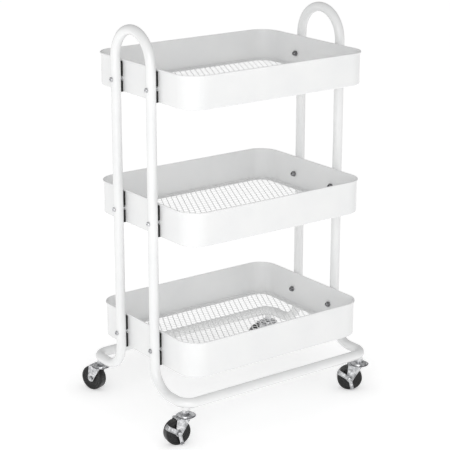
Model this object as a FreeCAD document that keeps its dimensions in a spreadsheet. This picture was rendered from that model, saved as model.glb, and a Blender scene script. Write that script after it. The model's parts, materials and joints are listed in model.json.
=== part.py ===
"""Rolling utility cart: three mesh-floored trays between two tube hoops, on four swivel casters.

Millimetres, +Z up, floor at z = 0. +X runs along the trays, from the left hoop to the right one.
The front is at -Y. The casters are drawn swung aside, as they stand after a short push.
"""
import FreeCAD
import Part
import Sketcher

import math
import os

Vector = FreeCAD.Vector

doc = FreeCAD.newDocument("rolling_utility_cart")
sheet = doc.addObject("Spreadsheet::Sheet", "Sizes")

DRIVING_DIMENSIONS = {
    # where the cart's own middle lies from the middle of its whole box
    "cart_middle_x": 13.3,
    "cart_middle_y": -13.4,
    # hoops and base rails, one tube size throughout
    "tube_diameter": 19.0,
    "tube_wall": 1.2,
    "hoop_spacing": 441.0,
    "hoop_leg_spacing": 117.0,
    "hoop_top_height": 765.0,
    "tube_joint_height": 135.0,
    "spigot_length": 44.0,
    "spigot_play": 0.1,
    "rail_height": 78.0,
    "rail_spacing": 314.0,
    "leg_bend_radius": 50.0,
    "rail_bend_radius": 26.0,
    "boss_radius": 7.0,
    "boss_bottom_height": 65.0,
    "boss_top_height": 77.0,
    "stem_bore_radius": 4.1,
    # trays
    "tray_length": 414.0,
    "tray_width": 318.0,
    "tray_corner_radius": 39.0,
    "tray_sheet": 1.0,
    "tray_foot_radius": 3.0,
    "rim_depth": 4.0,
    "rim_reach": 2.0,
    "rim_rounding": 1.4,
    "floor_flange": 9.0,
    "top_rim_height": 693.0,
    "middle_rim_height": 443.0,
    "bottom_rim_height": 193.0,
    "top_tray_depth": 63.0,
    "middle_tray_depth": 66.0,
    "bottom_tray_depth": 70.0,
    # mesh floors
    "mesh_thickness": 1.0,
    "mesh_margin": 3.0,
    "mesh_border": 9.0,
    "diamond_width": 12.0,
    "diamond_length": 24.0,
    "mesh_strand": 1.6,
    # what fixes a tray to a tube
    "screw_radius": 3.0,
    "screw_hole_radius": 3.15,
    "screw_head_radius": 4.75,
    "screw_head_height": 3.0,
    "screw_seat_play": 0.1,
    "screw_head_rounding": 2.6,
    "screw_slot_width": 1.1,
    "screw_slot_length": 4.6,
    "screw_slot_depth": 1.4,
    "screw_reach": 6.2,
    "fixing_drop": 37.0,
    "spacer_width": 7.5,
    "spacer_play": 0.1,
    "spacer_screw_gap": 9.5,
    "spacer_end_gap": 1.0,
    "cap_nut_flats": 10.0,
    "cap_nut_hex_length": 3.6,
    "cap_nut_dome_length": 4.8,
    "cap_nut_dome_radius": 4.6,
    "cap_nut_rounding": 4.2,
    "cap_nut_bore_depth": 6.8,
    "cap_nut_bore_radius": 3.05,
    # casters
    "wheel_radius": 25.0,
    "wheel_width": 18.0,
    "wheel_rounding": 2.5,
    "wheel_dish_radius": 17.5,
    "wheel_dish_depth": 2.0,
    "wheel_hub_radius": 8.5,
    "bush_radius": 4.0,
    "bush_play": 0.08,
    "bush_bore_radius": 2.57,
    "bush_length": 19.8,
    "axle_radius": 2.5,
    "axle_head_radius": 4.6,
    "axle_head_height": 2.6,
    "axle_head_rounding": 2.1,
    "axle_hole_radius": 2.55,
    "axle_nut_flats": 8.0,
    "axle_nut_height": 4.0,
    "caster_trail": 19.0,
    "fork_sheet": 1.6,
    "fork_gap": 20.0,
    "fork_foot_radius": 7.0,
    "fork_crown_radius": 19.0,
    "fork_crown_height": 51.0,
    "fork_leg_back": 6.0,
    "fork_leg_front": 23.0,
    "fork_stem_hole_radius": 4.08,
    "fork_lip_height": 2.9,
    "ball_radius": 1.5,
    "ball_circle_radius": 9.0,
    "ball_play": 0.1,
    "cup_sheet": 1.3,
    "cup_radius": 16.0,
    "cup_skirt": 2.4,
    "stem_radius": 4.0,
    "stem_top_height": 76.0,
    "stem_collar_flats": 13.0,
    "stem_rivet_radius": 5.6,
    "stem_rivet_depth": 2.2,
    # brake levers on the two front casters
    "lever_sheet": 1.5,
    "lever_width": 9.0,
    "lever_hub_radius": 6.5,
    "pedal_reach": 28.5,
    "pedal_angle": 33.0,
    "pedal_length": 12.0,
    "lever_bore_radius": 2.58,
    "toe_length": 3.5,
    "release_reach": 22.0,
    "release_half_width": 3.4,
    "release_angle": -103.0,
    # how far each caster has swung round its stem
    "front_left_angle": 171.0,
    "front_right_angle": 145.0,
    "back_left_angle": 108.0,
    "back_right_angle": 160.0,
}
BALLS_IN_RACE = 10
TIERS = ("top", "middle", "bottom")


class Size:
    """A number kept together with the spreadsheet formula that gives it."""

    def __init__(self, number, formula):
        self.number = number
        self.formula = formula

    def __add__(self, other):
        other = as_size(other)
        return Size(self.number + other.number, f"({self.formula} + {other.formula})")

    def __sub__(self, other):
        other = as_size(other)
        return Size(self.number - other.number, f"({self.formula} - {other.formula})")

    def __mul__(self, factor):
        factor = as_size(factor)
        return Size(self.number * factor.number, f"({self.formula} * {factor.formula})")

    def __truediv__(self, divisor):
        divisor = as_size(divisor)
        return Size(self.number / divisor.number, f"({self.formula} / {divisor.formula})")

    def __neg__(self):
        return Size(-self.number, f"(0 - {self.formula})")


def as_size(value):
    """A plain number becomes a Size whose formula is that number."""
    return value if isinstance(value, Size) else Size(float(value), repr(float(value)))


for row, (alias, number) in enumerate(DRIVING_DIMENSIONS.items(), start=1):
    sheet.set(f"A{row}", alias)
    sheet.set(f"B{row}", str(number))
    sheet.setAlias(f"B{row}", alias)
doc.recompute()


def dim(alias):
    """The Size of one driving dimension, read from its cell."""
    return Size(float(sheet.get(alias)), f"Sizes.{alias}")


def bind(thing, prop, size):
    """Ties one property of an object to the spreadsheet."""
    thing.setExpression(prop, as_size(size).formula)


# Distances that several pieces share
TUBE_RADIUS = dim("tube_diameter") / 2
TUBE_BORE_RADIUS = TUBE_RADIUS - dim("tube_wall")
HOOP_X = dim("hoop_spacing") / 2
LEG_Y = dim("hoop_leg_spacing") / 2
RAIL_Y = dim("rail_spacing") / 2
WALL_X = dim("tray_length") / 2
AXLE_HEIGHT = dim("wheel_radius")
FORK_CROWN_TOP = dim("fork_crown_height") + dim("fork_sheet")
CUP_UNDERSIDE = FORK_CROWN_TOP + dim("ball_radius") * 2 + dim("ball_play") * 2
CUP_TOP = CUP_UNDERSIDE + dim("cup_sheet")
FORK_HALF_GAP = dim("fork_gap") / 2
FORK_FACE = FORK_HALF_GAP + dim("fork_sheet")
LEVER_PLAY = dim("ball_play")
# The middle of the rail's corner arc, where a caster's stem stands
CORNER_CUT = dim("rail_bend_radius") * (1 - math.sqrt(0.5))
STEM_X = HOOP_X - CORNER_CUT
STEM_Y = RAIL_Y - CORNER_CUT


# ---------------------------------------------------------------- sketches and bodies

def new_body(label):
    body = doc.addObject("PartDesign::Body", label)
    body.Label = label
    return body


def origin_plane(body, role):
    return next(item for item in body.Origin.OriginFeatures if item.Role == role)


def new_sketch(body, name, role, raised=None):
    """A sketch on one of the body's own origin planes, raised along the plane's normal."""
    sketch = body.newObject("Sketcher::SketchObject", name)
    sketch.AttachmentSupport = [(origin_plane(body, role), "")]
    sketch.MapMode = "FlatFace"
    if raised is not None:
        bind(sketch, "AttachmentOffset.Base.z", raised)
    return sketch


def constrain(sketch, size, *arguments):
    """Adds a constraint whose value follows the spreadsheet."""
    size = as_size(size)
    index = sketch.addConstraint(Sketcher.Constraint(*arguments, size.number))
    sketch.setExpression(f"Constraints[{index}]", size.formula)


def pin_point(sketch, geometry, end, x, y):
    """Holds one point of the sketch at x, y from the sketch's origin."""
    for kind, size in (("DistanceX", as_size(x)), ("DistanceY", as_size(y))):
        constrain(sketch, size, kind, -1, 1, geometry, end)


def draw_circle(sketch, x, y, radius):
    x, y, radius = as_size(x), as_size(y), as_size(radius)
    circle = Part.Circle(Vector(x.number, y.number, 0), Vector(0, 0, 1), radius.number)
    index = sketch.addGeometry(circle, False)
    pin_point(sketch, index, 3, x, y)
    constrain(sketch, radius, "Radius", index)


def draw_polygon(sketch, corners):
    """A closed outline of straight lines; each corner is a pair of sizes."""
    corners = [(as_size(x), as_size(y)) for x, y in corners]
    points = [Vector(x.number, y.number, 0) for x, y in corners]
    lines = []
    for start, end in zip(points, points[1:] + points[:1]):
        lines.append(sketch.addGeometry(Part.LineSegment(start, end), False))
    for index, line in enumerate(lines):
        following = lines[(index + 1) % len(lines)]
        sketch.addConstraint(Sketcher.Constraint("Coincident", line, 2, following, 1))
        pin_point(sketch, line, 1, *corners[index])


def draw_rounded_rectangle(sketch, length, width, radius):
    """A rectangle about the sketch's origin with four equal round corners."""
    length, width, radius = as_size(length), as_size(width), as_size(radius)
    half_x, half_y, r = length.number / 2, width.number / 2, radius.number
    centres = [(half_x - r, half_y - r), (r - half_x, half_y - r),
               (r - half_x, r - half_y), (half_x - r, r - half_y)]
    arcs = []
    for quarter, (x, y) in enumerate(centres):
        circle = Part.Circle(Vector(x, y, 0), Vector(0, 0, 1), r)
        start = quarter * math.pi / 2
        arcs.append(sketch.addGeometry(Part.ArcOfCircle(circle, start, start + math.pi / 2), False))
    for quarter, arc in enumerate(arcs):
        following = arcs[(quarter + 1) % 4]
        start = sketch.getPoint(arc, 2)
        end = sketch.getPoint(following, 1)
        line = sketch.addGeometry(Part.LineSegment(start, end), False)
        sketch.addConstraint(Sketcher.Constraint("Tangent", arc, 2, line, 1))
        sketch.addConstraint(Sketcher.Constraint("Tangent", line, 2, following, 1))
        direction = "Horizontal" if quarter % 2 == 0 else "Vertical"
        sketch.addConstraint(Sketcher.Constraint(direction, line))
    for arc in arcs[1:]:
        sketch.addConstraint(Sketcher.Constraint("Equal", arcs[0], arc))
    constrain(sketch, radius, "Radius", arcs[0])
    sketch.addConstraint(Sketcher.Constraint("Symmetric", arcs[0], 3, arcs[2], 3, -1, 1))
    constrain(sketch, length - radius * 2, "DistanceX", arcs[1], 3, arcs[0], 3)
    constrain(sketch, width - radius * 2, "DistanceY", arcs[3], 3, arcs[0], 3)


def pad(body, sketch, length, both_ways=False):
    feature = body.newObject("PartDesign::Pad", "Pad")
    feature.Profile = sketch
    feature.Midplane = both_ways
    bind(feature, "Length", length)
    return feature


def pocket(body, sketch, length=None, both_ways=True, reverse=False):
    """Cuts the sketch out of the body: to a length, or right through when none is given."""
    before = solid_volume(body)
    feature = body.newObject("PartDesign::Pocket", "Pocket")
    feature.Profile = sketch
    feature.Midplane = both_ways
    feature.Reversed = reverse
    if length is None:
        feature.Type = "ThroughAll"
    else:
        bind(feature, "Length", length)
    doc.recompute()
    if solid_volume(body) >= before - 0.01:
        raise RuntimeError(f"a pocket in {body.Label} cuts nothing")
    return feature


def solid_volume(body):
    doc.recompute()
    return body.Shape.Volume


def turned(label, profile, role="XZ_Plane", axis="V_Axis"):
    """A body turned on a lathe: a closed profile on one plane, spun about one of the plane's axes."""
    body = new_body(label)
    sketch = new_sketch(body, "Profile", role)
    draw_polygon(sketch, profile)
    spin = body.newObject("PartDesign::Revolution", "Revolution")
    spin.Profile = sketch
    spin.ReferenceAxis = (sketch, [axis])
    spin.Angle = 360
    doc.recompute()
    return body


def rounded(body, radius, chosen):
    """Fillets the edges of the body that the test picks out by their bounding boxes."""
    doc.recompute()
    names = [f"Edge{number}" for number, edge in enumerate(body.Shape.Edges, start=1) if chosen(edge)]
    if not names:
        raise RuntimeError(f"no edges to round on {body.Label}")
    base = body.Tip
    feature = body.newObject("PartDesign::Fillet", "Fillet")
    feature.Base = (base, names)
    bind(feature, "Radius", radius)
    doc.recompute()
    return feature


def hex_corners(flats):
    """Corners of a hexagon about the sketch's origin."""
    corner = as_size(flats) / math.sqrt(3)
    turns = [math.radians(60 * step) for step in range(6)]
    return [(corner * math.cos(turn), corner * math.sin(turn)) for turn in turns]


def rectangle_corners(low_x, low_y, high_x, high_y):
    return [(low_x, low_y), (high_x, low_y), (high_x, high_y), (low_x, high_y)]


def place(thing, x=0, y=0, z=0, turn=None):
    """Stands a piece at x, y, z from the cart's own middle, turned about the vertical by an angle cell."""
    bind(thing, "Placement.Base.x", as_size(x) + dim("cart_middle_x"))
    bind(thing, "Placement.Base.y", as_size(y) + dim("cart_middle_y"))
    bind(thing, "Placement.Base.z", z)
    if turn is not None:
        bind(thing, "Placement.Rotation.Angle", turn)
    return thing


def at_four_corners(label, template, x, y, z):
    """Stands a piece in one corner and mirrors it into the other three, as one group of solids."""
    bind(template, "Placement.Base.x", x)
    bind(template, "Placement.Base.y", y)
    bind(template, "Placement.Base.z", z)
    pieces = template
    for number, normal in enumerate((Vector(1, 0, 0), Vector(0, 1, 0))):
        mirrored = doc.addObject("Part::Mirroring", f"{label}_mirrored_{number}")
        mirrored.Source = pieces
        mirrored.Normal = normal
        group = doc.addObject("Part::Compound", f"{label}_group_{number}")
        group.Links = [pieces, mirrored]
        pieces = group
    pieces.Label = label
    return place(pieces)


# ---------------------------------------------------------------- frame

def rim_height(tier):
    return dim(f"{tier}_rim_height")


def tray_bottom(tier):
    return rim_height(tier) - dim(f"{tier}_tray_depth")


def fixing_height(tier):
    return rim_height(tier) - dim("fixing_drop")


def hoop(label, side):
    """A tube bent into an inverted U: two legs and a half circle that serves as a handle."""
    body = new_body(label)
    foot = dim("tube_joint_height")
    crown = dim("hoop_top_height") - TUBE_RADIUS - LEG_Y

    path = new_sketch(body, "Path", "YZ_Plane")
    half_circle = Part.Circle(Vector(0, crown.number, 0), Vector(0, 0, 1), LEG_Y.number)
    arc = path.addGeometry(Part.ArcOfCircle(half_circle, 0, math.pi), False)
    pin_point(path, arc, 3, 0, crown)
    constrain(path, LEG_Y, "Radius", arc)
    for end, leg_y in ((1, LEG_Y.number), (2, -LEG_Y.number)):
        top, bottom = Vector(leg_y, crown.number, 0), Vector(leg_y, foot.number, 0)
        leg = path.addGeometry(Part.LineSegment(top, bottom), False)
        path.addConstraint(Sketcher.Constraint("Tangent", arc, end, leg, 1))
        path.addConstraint(Sketcher.Constraint("Vertical", leg))
        constrain(path, foot, "DistanceY", -1, 1, leg, 2)

    profile = new_sketch(body, "Profile", "XY_Plane", foot)
    draw_circle(profile, 0, LEG_Y, TUBE_RADIUS)
    draw_circle(profile, 0, LEG_Y, TUBE_BORE_RADIUS)
    pipe = body.newObject("PartDesign::AdditivePipe", "Tube")
    pipe.Profile = profile
    pipe.Spine = (path, [])
    doc.recompute()

    holes = new_sketch(body, "Holes", "YZ_Plane")
    for tier in TIERS:
        for leg_y in (LEG_Y, -LEG_Y):
            draw_circle(holes, leg_y, fixing_height(tier), dim("screw_hole_radius"))
    pocket(body, holes, dim("tube_diameter") * 2)
    return place(body, HOOP_X * side)


def bent_tube(corners, bends, radius):
    """A round bar along straight runs, with a tangent arc of its own radius at each inner corner."""
    edges = []
    start = corners[0]
    for before, corner, after, bend in zip(corners, corners[1:], corners[2:], bends):
        arrive = (corner - before).normalize()
        leave = (after - corner).normalize()
        first = corner - arrive * bend
        last = corner + leave * bend
        middle = corner + (leave - arrive) * (bend * (1 - math.sqrt(0.5)))
        edges.append(Part.LineSegment(start, first).toShape())
        edges.append(Part.Arc(first, middle, last).toShape())
        start = last
    edges.append(Part.LineSegment(start, corners[-1]).toShape())
    circle = Part.makeCircle(radius, corners[0], corners[1] - corners[0])
    return Part.Wire(edges).makePipeShell([Part.Wire(circle)], True, False)


def upright_cylinder(x, y, low, high, radius):
    return Part.makeCylinder(radius, high - low, Vector(x, y, low))


def base_rail(label, side):
    """A tube from hoop to hoop: down a leg, out, along the whole cart, and back up the other leg.

    Its ends are drawn down to spigots that slide up inside the hoops, and a threaded boss for a
    caster's stem is welded through each of its two level corners.
    """
    x, leg_y, rail_y = HOOP_X.number, LEG_Y.number * side, RAIL_Y.number * side
    joint = dim("tube_joint_height").number
    level = dim("rail_height").number
    corners = [Vector(-x, leg_y, joint), Vector(-x, leg_y, level), Vector(-x, rail_y, level),
               Vector(x, rail_y, level), Vector(x, leg_y, level), Vector(x, leg_y, joint)]
    leg_bend = dim("leg_bend_radius").number
    rail_bend = dim("rail_bend_radius").number
    bends = [leg_bend, rail_bend, rail_bend, leg_bend]
    bore_radius = TUBE_BORE_RADIUS.number
    shape = bent_tube(corners, bends, TUBE_RADIUS.number)
    shape = shape.cut(bent_tube(corners, bends, bore_radius))

    spigot_radius = bore_radius - dim("spigot_play").number
    spigot_bore = spigot_radius - dim("tube_wall").number
    spigot_top = joint + dim("spigot_length").number
    swage = dim("tube_wall").number * 3
    screw_height = fixing_height("bottom").number
    boss_bottom, boss_top = dim("boss_bottom_height").number, dim("boss_top_height").number
    for end_x in (-x, x):
        collar_radius = bore_radius + dim("tube_wall").number / 2
        collar = upright_cylinder(end_x, leg_y, joint - swage, joint, collar_radius)
        spigot = upright_cylinder(end_x, leg_y, joint - swage, spigot_top, spigot_radius)
        bore = upright_cylinder(end_x, leg_y, joint - swage, spigot_top, spigot_bore)
        screw_start = Vector(end_x - 2 * spigot_radius, leg_y, screw_height)
        hole_radius = dim("screw_hole_radius").number
        screw_hole = Part.makeCylinder(hole_radius, 4 * spigot_radius, screw_start, Vector(1, 0, 0))
        shape = shape.fuse([collar, spigot]).cut([bore, screw_hole])
        stem_x = math.copysign(STEM_X.number, end_x)
        stem_y = STEM_Y.number * side
        boss = upright_cylinder(stem_x, stem_y, boss_bottom, boss_top, dim("boss_radius").number)
        stem_bore_radius = dim("stem_bore_radius").number
        stem_bore = upright_cylinder(stem_x, stem_y, boss_bottom, boss_top, stem_bore_radius)
        shape = shape.fuse(boss).cut(stem_bore)
    rail = doc.addObject("Part::Feature", label)
    rail.Shape = shape
    rail.Label = label
    return place(rail)


# ---------------------------------------------------------------- trays

def tray(tier):
    """A pressed tray: solid walls, a rolled rim, and a narrow floor flange round an open bottom."""
    body = new_body(f"{tier}_tray")
    length, width, corner = dim("tray_length"), dim("tray_width"), dim("tray_corner_radius")
    metal, bottom, rim = dim("tray_sheet"), tray_bottom(tier), rim_height(tier)

    outside = new_sketch(body, "Outside", "XY_Plane", bottom)
    draw_rounded_rectangle(outside, length, width, corner)
    pad(body, outside, dim(f"{tier}_tray_depth"))
    rounded(body, dim("tray_foot_radius"), lambda edge: edge.BoundBox.ZMax < bottom.number + 0.01)

    inside = new_sketch(body, "Inside", "XY_Plane", bottom + metal)
    draw_rounded_rectangle(inside, length - metal * 2, width - metal * 2, corner - metal)
    pocket(body, inside, both_ways=False, reverse=True)
    floor_top = (bottom + metal).number

    def is_inner_foot(edge):
        box = edge.BoundBox
        return abs(box.ZMin - floor_top) < 0.01 and abs(box.ZMax - floor_top) < 0.01

    rounded(body, dim("tray_foot_radius") - metal, is_inner_foot)

    inset = metal + dim("floor_flange")
    window = new_sketch(body, "Window", "XY_Plane", bottom)
    draw_rounded_rectangle(window, length - inset * 2, width - inset * 2, corner - inset)
    pocket(body, window, metal * 3)

    reach = dim("rim_reach")
    bead = new_sketch(body, "Rim", "XY_Plane", rim - dim("rim_depth"))
    draw_rounded_rectangle(bead, length + reach * 2, width + reach * 2, corner + reach)
    draw_rounded_rectangle(bead, length - metal * 2, width - metal * 2, corner - metal)
    pad(body, bead, dim("rim_depth"))
    outermost = (length / 2 + reach).number
    deepest = (width / 2 + reach).number
    bead_bottom = (rim - dim("rim_depth")).number

    def is_rim_edge(edge):
        box = edge.BoundBox
        level = box.ZMax - box.ZMin < 0.01
        on_top = abs(box.ZMax - rim.number) < 0.01
        farthest_x = max(abs(box.XMin), abs(box.XMax))
        farthest_y = max(abs(box.YMin), abs(box.YMax))
        outer = abs(farthest_x - outermost) < 0.01 or abs(farthest_y - deepest) < 0.01
        under_bead = abs(box.ZMax - bead_bottom) < 0.01 and outer
        return level and (on_top or under_bead)

    rounded(body, dim("rim_rounding"), is_rim_edge)

    holes = new_sketch(body, "Holes", "YZ_Plane")
    for leg_y in (LEG_Y, -LEG_Y):
        draw_circle(holes, leg_y, fixing_height(tier), dim("screw_hole_radius"))
    pocket(body, holes, length * 2)
    return place(body)


def inside_rounded_rectangle(x, y, half_x, half_y, radius):
    past_x = max(abs(x) - (half_x - radius), 0)
    past_y = max(abs(y) - (half_y - radius), 0)
    return abs(x) <= half_x and abs(y) <= half_y and math.hypot(past_x, past_y) <= radius


def rounded_rectangle_wire(half_x, half_y, radius):
    plate = Part.makePlane(2 * half_x, 2 * half_y, Vector(-half_x, -half_y, 0)).extrude(Vector(0, 0, 1))
    upright = [edge for edge in plate.Edges if edge.BoundBox.ZLength > 0.5]
    rounded_plate = plate.makeFillet(radius, upright)
    lowest = next(face for face in rounded_plate.Faces if face.BoundBox.ZMax < 0.01)
    return lowest.OuterWire


def mesh_floor(tier):
    """A sheet of expanded metal on the tray's flange: diamonds that point across the cart.

    Each row of them is half a diamond over from the one before, and the sheet's edge stays solid.
    """
    edge_gap = dim("tray_sheet").number + dim("mesh_margin").number
    half_x = WALL_X.number - edge_gap
    half_y = dim("tray_width").number / 2 - edge_gap
    corner = dim("tray_corner_radius").number - edge_gap
    border = dim("mesh_border").number
    step_x, step_y = dim("diamond_width").number, dim("diamond_length").number / 2
    middle_to_side = step_x / 2 * step_y / math.hypot(step_x / 2, step_y)
    opening = 1 - dim("mesh_strand").number / 2 / middle_to_side
    reach_x, reach_y = step_x / 2 * opening, step_y * opening

    wires = [rounded_rectangle_wire(half_x, half_y, corner)]
    rows = int(half_y / step_y)
    columns = int(half_x / step_x) + 1
    for row in range(-rows, rows + 1):
        shift = step_x / 2 if row % 2 else 0
        for column in range(-columns, columns + 1):
            x, y = column * step_x + shift, row * step_y
            points = [Vector(x - reach_x, y, 0), Vector(x, y - reach_y, 0),
                      Vector(x + reach_x, y, 0), Vector(x, y + reach_y, 0)]
            limits = (half_x - border, half_y - border, corner - border)
            if all(inside_rounded_rectangle(point.x, point.y, *limits) for point in points):
                wires.append(Part.makePolygon(points + points[:1]))
    sheet_face = Part.Face(wires, "Part::FaceMakerBullseye")
    floor = doc.addObject("Part::Feature", f"{tier}_mesh_floor")
    floor.Shape = sheet_face.extrude(Vector(0, 0, dim("mesh_thickness").number))
    floor.Label = f"{tier}_mesh_floor"
    return place(floor, z=tray_bottom(tier) + dim("tray_sheet"))


# ---------------------------------------------------------------- what fixes a tray to the hoops

# The tray's wall as seen from the middle of the tube beside it
WALL_FROM_TUBE = WALL_X - HOOP_X
WALL_INNER_FROM_TUBE = WALL_FROM_TUBE - dim("tray_sheet")


def spacers(tier):
    """Plastic pads between the tubes and the tray's end walls: one over and one under each screw."""
    label = f"{tier}_tray_spacers"
    body = new_body(f"{label}_template")
    body.AllowCompound = True
    play = dim("spacer_play")
    half_width = dim("spacer_width") / 2
    low = tray_bottom(tier) - fixing_height(tier) + dim("spacer_end_gap")
    high = dim("fixing_drop") - dim("rim_depth") - dim("spacer_end_gap")

    block = new_sketch(body, "Block", "XY_Plane", low)
    lip = -(TUBE_RADIUS / 2)
    draw_polygon(block, rectangle_corners(WALL_FROM_TUBE + play, -half_width, lip, half_width))
    pad(body, block, high - low)
    seat = new_sketch(body, "Seat", "XY_Plane", low)
    draw_circle(seat, 0, 0, TUBE_RADIUS + play)
    pocket(body, seat, both_ways=False, reverse=True)

    half_gap = dim("spacer_screw_gap") / 2
    gap = new_sketch(body, "ScrewGap", "YZ_Plane")
    draw_polygon(gap, rectangle_corners(-half_width - 1, -half_gap, half_width + 1, half_gap))
    pocket(body, gap, dim("tube_diameter") * 2)
    return at_four_corners(label, body, HOOP_X, LEG_Y, fixing_height(tier))


def screws(tier):
    """Round-headed screws that run in from the outer side of each tube."""
    label = f"{tier}_tray_screws"
    seat = TUBE_RADIUS + dim("screw_seat_play")
    crown = seat + dim("screw_head_height")
    tip = WALL_INNER_FROM_TUBE - dim("screw_reach")
    shank, head = dim("screw_radius"), dim("screw_head_radius")
    profile = [(tip, 0), (tip, shank), (seat, shank), (seat, head), (crown, head), (crown, 0)]
    body = turned(f"{label}_template", profile, axis="H_Axis")
    rounded(body, dim("screw_head_rounding"), lambda edge: edge.BoundBox.XMin > crown.number - 0.01)
    half_long, half_wide = dim("screw_slot_length") / 2, dim("screw_slot_width") / 2
    for name, along, across in (("Slot", half_long, half_wide), ("CrossSlot", half_wide, half_long)):
        slot = new_sketch(body, name, "YZ_Plane", crown)
        draw_polygon(slot, rectangle_corners(-along, -across, along, across))
        pocket(body, slot, dim("screw_slot_depth"), both_ways=False)
    return at_four_corners(label, body, HOOP_X, LEG_Y, fixing_height(tier))


def cap_nuts(tier):
    """Domed nuts on the screws' ends, inside the tray."""
    label = f"{tier}_tray_cap_nuts"
    body = new_body(f"{label}_template")
    face = WALL_INNER_FROM_TUBE - dim("screw_seat_play")
    hexagon = new_sketch(body, "Hexagon", "YZ_Plane", face - dim("cap_nut_hex_length"))
    draw_polygon(hexagon, hex_corners(dim("cap_nut_flats")))
    pad(body, hexagon, dim("cap_nut_hex_length"))
    end = face - dim("cap_nut_hex_length") - dim("cap_nut_dome_length")
    dome = new_sketch(body, "Dome", "YZ_Plane", end)
    draw_circle(dome, 0, 0, dim("cap_nut_dome_radius"))
    pad(body, dome, dim("cap_nut_dome_length"))
    rounded(body, dim("cap_nut_rounding"), lambda edge: edge.BoundBox.XMax < end.number + 0.01)
    bore = new_sketch(body, "Bore", "YZ_Plane", face)
    draw_circle(bore, 0, 0, dim("cap_nut_bore_radius"))
    pocket(body, bore, dim("cap_nut_bore_depth"), both_ways=False)
    return at_four_corners(label, body, HOOP_X, LEG_Y, fixing_height(tier))


# ---------------------------------------------------------------- casters
# Each piece is drawn about its own stem with the wheel trailing towards +X, then turned by the
# caster's angle. Pieces on the wheel's axle are drawn about the middle of the wheel.

def caster_stem(prefix):
    """Threaded stem, riveted over under the fork, with a hexagonal collar to screw it home."""
    crown, radius = dim("fork_crown_height"), dim("stem_radius")
    rivet_top = crown - dim("ball_play")
    rivet_low = rivet_top - dim("stem_rivet_depth")
    rivet = dim("stem_rivet_radius")
    top = dim("stem_top_height")
    bevel = dim("tube_wall")
    profile = [(0, rivet_low), (rivet - bevel, rivet_low), (rivet, rivet_low + bevel), (rivet, rivet_top),
               (radius, rivet_top), (radius, top - bevel), (radius - bevel, top), (0, top)]
    body = turned(f"{prefix}_caster_stem", profile)
    collar = new_sketch(body, "Collar", "XY_Plane", CUP_TOP + dim("ball_play"))
    draw_polygon(collar, hex_corners(dim("stem_collar_flats")))
    pad(body, collar, dim("boss_bottom_height") - dim("ball_play") * 2 - CUP_TOP)
    return body


def swivel_cup(prefix):
    """Upper race: a dish with a short skirt, held between the collar and the balls."""
    bore = dim("stem_radius") + dim("ball_play")
    outer, metal, skirt = dim("cup_radius"), dim("cup_sheet"), dim("cup_skirt")
    inner = outer - metal
    bevel = metal / 2
    profile = [(bore, CUP_UNDERSIDE), (inner, CUP_UNDERSIDE), (inner, CUP_UNDERSIDE - skirt),
               (outer, CUP_UNDERSIDE - skirt), (outer, CUP_TOP - bevel), (outer - bevel, CUP_TOP),
               (bore, CUP_TOP)]
    return turned(f"{prefix}_swivel_cup", profile)


def ball_ring(prefix):
    """Loose steel balls between the fork's crown and the cup."""
    label = f"{prefix}_ball_ring"
    balls = []
    for number in range(BALLS_IN_RACE):
        turn = 2 * math.pi * number / BALLS_IN_RACE
        ball = doc.addObject("Part::Sphere", f"{label}_{number}")
        bind(ball, "Radius", dim("ball_radius"))
        bind(ball, "Placement.Base.x", dim("ball_circle_radius") * math.cos(turn))
        bind(ball, "Placement.Base.y", dim("ball_circle_radius") * math.sin(turn))
        bind(ball, "Placement.Base.z", FORK_CROWN_TOP + dim("ball_play") + dim("ball_radius"))
        balls.append(ball)
    ring = doc.addObject("Part::Compound", label)
    ring.Links = balls
    ring.Label = label
    return ring


def draw_fork_leg(sketch):
    """A leg's outline: wide under the crown, tapering to a round foot about the axle."""
    top = FORK_CROWN_TOP.number
    axle = Vector(dim("caster_trail").number, AXLE_HEIGHT.number, 0)
    foot = dim("fork_foot_radius")
    back = Vector(-dim("fork_leg_back").number, top, 0)
    front = Vector(dim("fork_leg_front").number, top, 0)

    def touch_angle(corner, side):
        """Direction from the axle to where a line from the corner touches the foot's circle."""
        away = corner - axle
        return math.atan2(away.y, away.x) + side * math.acos(foot.number / away.Length)

    start, end = touch_angle(back, 1), touch_angle(front, -1) + 2 * math.pi
    circle = Part.Circle(axle, Vector(0, 0, 1), foot.number)
    arc = sketch.addGeometry(Part.ArcOfCircle(circle, start, end), False)
    touch_back, touch_front = sketch.getPoint(arc, 1), sketch.getPoint(arc, 2)
    rear_edge = sketch.addGeometry(Part.LineSegment(back, touch_back), False)
    front_edge = sketch.addGeometry(Part.LineSegment(touch_front, front), False)
    top_edge = sketch.addGeometry(Part.LineSegment(front, back), False)
    sketch.addConstraint(Sketcher.Constraint("Tangent", rear_edge, 2, arc, 1))
    sketch.addConstraint(Sketcher.Constraint("Tangent", arc, 2, front_edge, 1))
    sketch.addConstraint(Sketcher.Constraint("Coincident", front_edge, 2, top_edge, 1))
    sketch.addConstraint(Sketcher.Constraint("Coincident", top_edge, 2, rear_edge, 1))
    pin_point(sketch, arc, 3, dim("caster_trail"), AXLE_HEIGHT)
    constrain(sketch, foot, "Radius", arc)
    pin_point(sketch, rear_edge, 1, -dim("fork_leg_back"), FORK_CROWN_TOP)
    pin_point(sketch, front_edge, 2, dim("fork_leg_front"), FORK_CROWN_TOP)


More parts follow.
